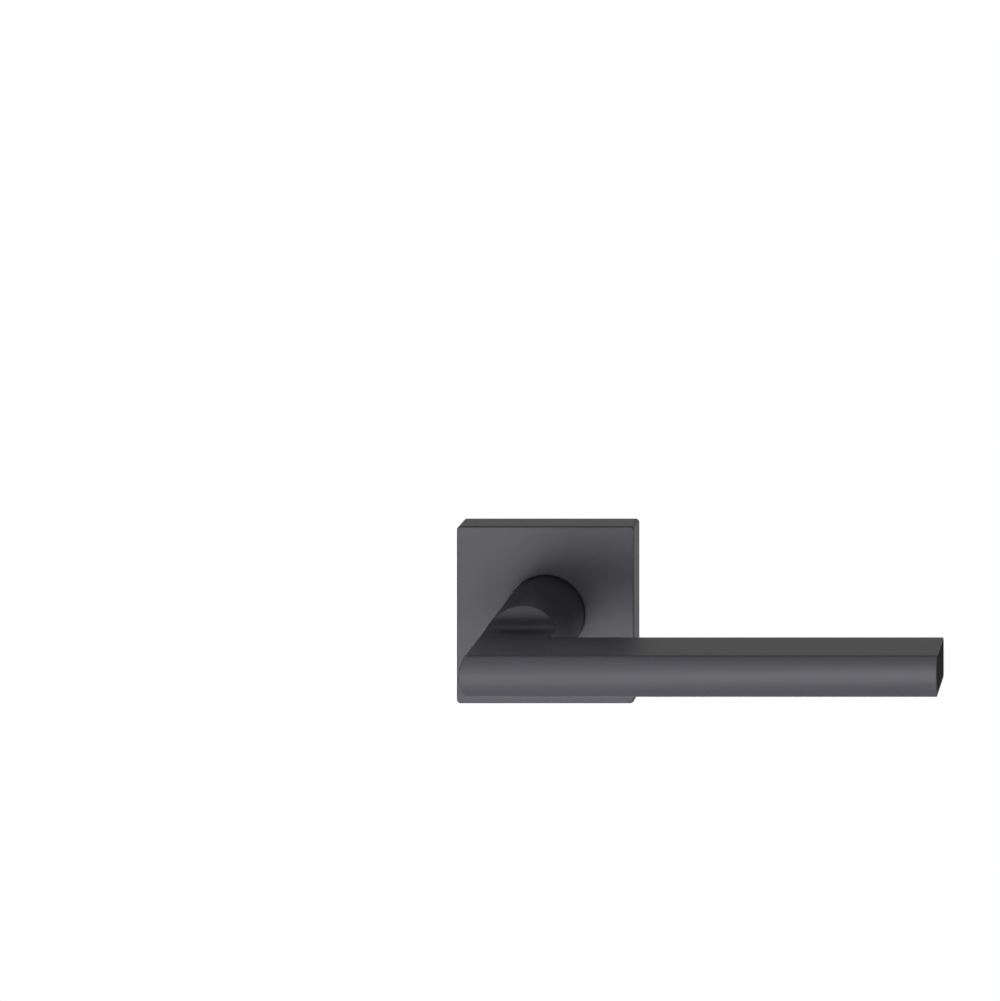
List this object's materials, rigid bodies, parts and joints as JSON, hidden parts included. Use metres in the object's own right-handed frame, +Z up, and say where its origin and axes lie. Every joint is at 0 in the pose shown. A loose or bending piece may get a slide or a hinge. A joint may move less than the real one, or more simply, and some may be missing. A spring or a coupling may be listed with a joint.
{
  "type": "door lever handle",
  "caption": "Mitred lever handle on a square sprung rose, with an 8 mm square spindle, tapped fixing posts and a concealed return spring.",
  "frame": {"origin": "where the spindle's axis meets the door's face", "axes": "+X towards the lever's free end, +Y into the door, +Z up"},
  "size_m": [0.147, 0.12, 0.052],
  "materials": {
    "graphite_coat": "satin graphite coat on metal",
    "black_plastic": "moulded, fine matt",
    "zinc_casting": "as cast, dull",
    "plated_steel": "bright zinc plated",
    "spring_steel": "oiled spring steel",
    "white_acetal": "turned natural acetal"
  },
  "bodies": {
    "rose": {"rose_cover": "graphite_coat", "rose_base": "zinc_casting", "retainer_plate": "plated_steel", "plate_screw_1": "plated_steel", "plate_screw_2": "plated_steel", "plate_screw_3": "plated_steel", "neck_bush": "white_acetal", "stop_pin": "plated_steel", "return_spring": "spring_steel", "fixing_post_left": "plated_steel", "fixing_post_right": "plated_steel", "wood_screw_upper": "plated_steel", "wood_screw_lower": "plated_steel", "cover_clip_1": "spring_steel", "cover_clip_2": "spring_steel", "cover_clip_3": "spring_steel", "cover_clip_4": "spring_steel"},
    "lever": {"lever": "graphite_coat", "lever_end_plug": "black_plastic", "spindle": "plated_steel", "grub_screw": "spring_steel", "spring_driver": "plated_steel", "circlip": "spring_steel"}
  },
  "joints": [
    {"name": "lever_turn", "type": "hinge", "parent": "rose", "child": "lever", "pos_m": [0, 0, 0], "axis": [0, 1, 0], "range_deg": [0, 45], "stiffness_Nm_per_rad": 1, "springref_deg": -40.11, "deforming": ["return_spring"]}
  ]
}
